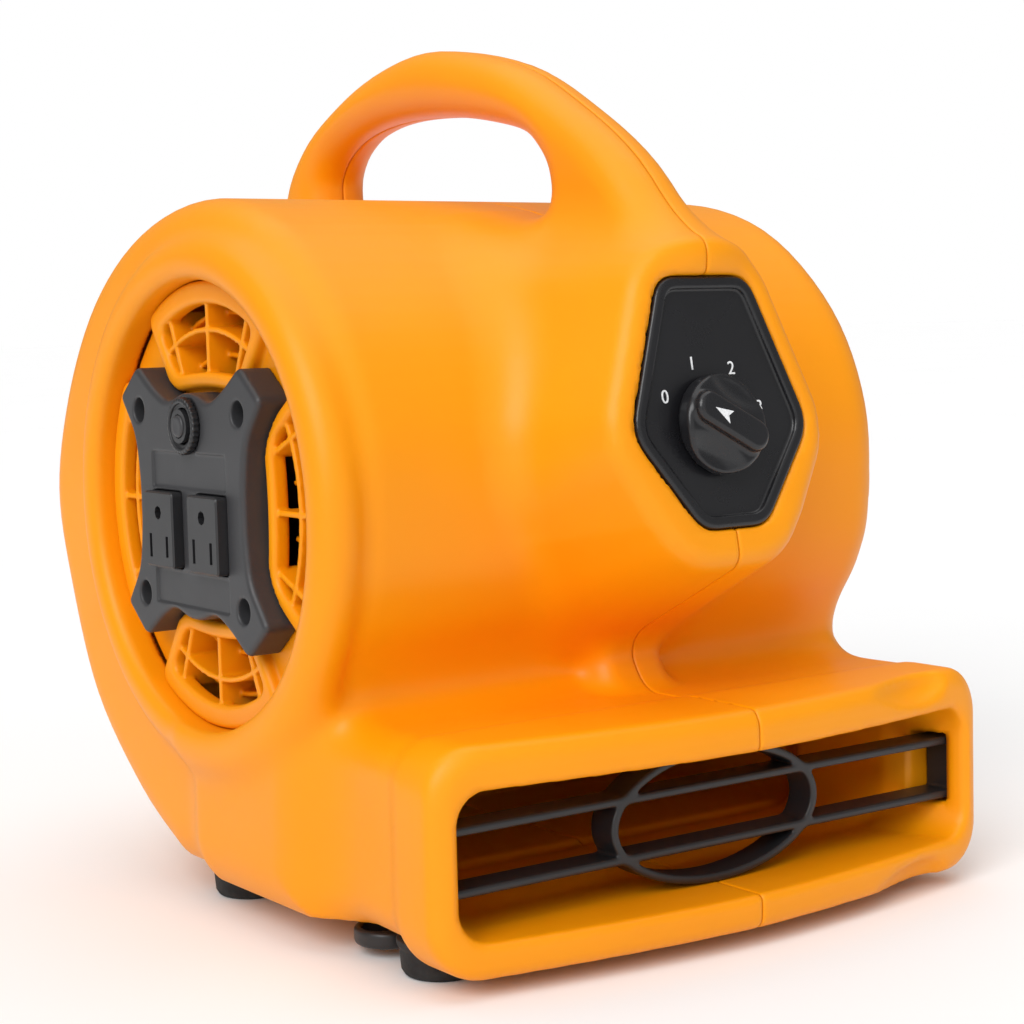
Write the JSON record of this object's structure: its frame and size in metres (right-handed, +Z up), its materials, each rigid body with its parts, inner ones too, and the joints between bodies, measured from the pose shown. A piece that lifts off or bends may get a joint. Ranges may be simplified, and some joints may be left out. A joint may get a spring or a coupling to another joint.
{
  "type": "air mover",
  "caption": "Compact centrifugal air mover with carrying hoop, wide floor nozzle, rotary speed switch, side intakes, auxiliary outlets and a fold-out stand.",
  "frame": {"origin": "on the floor at the middle of the bounding box of the machine", "axes": "+Z up, the nozzle blows towards -Y, the outlet panel faces -X and the blower shaft runs along X"},
  "size_m": [0.2696, 0.2928, 0.3163],
  "materials": {
    "housing_yellow": "satin moulded",
    "black_plastic": "satin",
    "panel_plastic": "fine texture",
    "foot_rubber": "matte",
    "steel": "turned",
    "dark_steel": "black oxide",
    "wheel_plastic": "moulded"
  },
  "bodies": {
    "machine": {"housing_left": "housing_yellow", "housing_right": "housing_yellow", "intake_grille_left": "housing_yellow", "intake_grille_right": "housing_yellow", "outlet_panel": "panel_plastic", "bearing_cover": "panel_plastic", "receptacle_front": "black_plastic", "receptacle_rear": "black_plastic", "breaker_body": "black_plastic", "breaker_collar": "black_plastic", "control_plate": "black_plastic", "switch_body": "black_plastic", "switch_nut": "steel", "run_capacitor": "black_plastic", "nozzle_grille": "black_plastic", "motor_can": "steel", "motor_bracket": "dark_steel", "stator": "dark_steel", "bearing_left": "steel", "bearing_right": "steel", "foot_left_front": "foot_rubber", "foot_left_rear": "foot_rubber", "foot_right_front": "foot_rubber", "foot_right_rear": "foot_rubber", "foot_screw_left_front": "dark_steel", "foot_screw_left_rear": "dark_steel", "foot_screw_right_front": "dark_steel", "foot_screw_right_rear": "dark_steel", "stand_lug_left": "black_plastic", "stand_lug_right": "black_plastic", "stand_pin_left": "steel", "stand_pin_right": "steel", "cord_gland": "foot_rubber", "housing_screw_1": "steel", "housing_screw_2": "steel", "housing_screw_3": "steel", "housing_screw_4": "steel", "panel_screw_1": "dark_steel", "panel_screw_2": "dark_steel", "panel_screw_3": "dark_steel", "panel_screw_4": "dark_steel", "cover_screw_1": "dark_steel", "cover_screw_2": "dark_steel", "cover_screw_3": "dark_steel", "cover_screw_4": "dark_steel"},
    "impeller": {"motor_shaft": "steel", "rotor": "steel", "blower_wheel": "wheel_plastic", "wheel_collar": "steel"},
    "knob": {"speed_knob": "black_plastic"},
    "breaker_button": {"breaker_button": "black_plastic"},
    "stand": {"kickstand": "black_plastic"}
  },
  "joints": [
    {"name": "impeller_spin", "type": "hinge", "parent": "machine", "child": "impeller", "pos_m": [0, 0.00461, 0.149], "axis": [1, 0, 0], "continuous": true},
    {"name": "knob_turn", "type": "hinge", "parent": "machine", "child": "knob", "pos_m": [-0.003, -0.12853, 0.17478], "axis": [0, 0.9842, -0.1771], "range_deg": [0, 138]},
    {"name": "breaker_reset", "type": "slide", "parent": "machine", "child": "breaker_button", "axis": [1, 0, 0], "range_m": [0, 0.002], "stiffness_N_per_m": 300},
    {"name": "stand_fold", "type": "hinge", "parent": "machine", "child": "stand", "pos_m": [0, -0.00539, 0.0065], "axis": [1, 0, 0], "range_deg": [0, 90]}
  ]
}
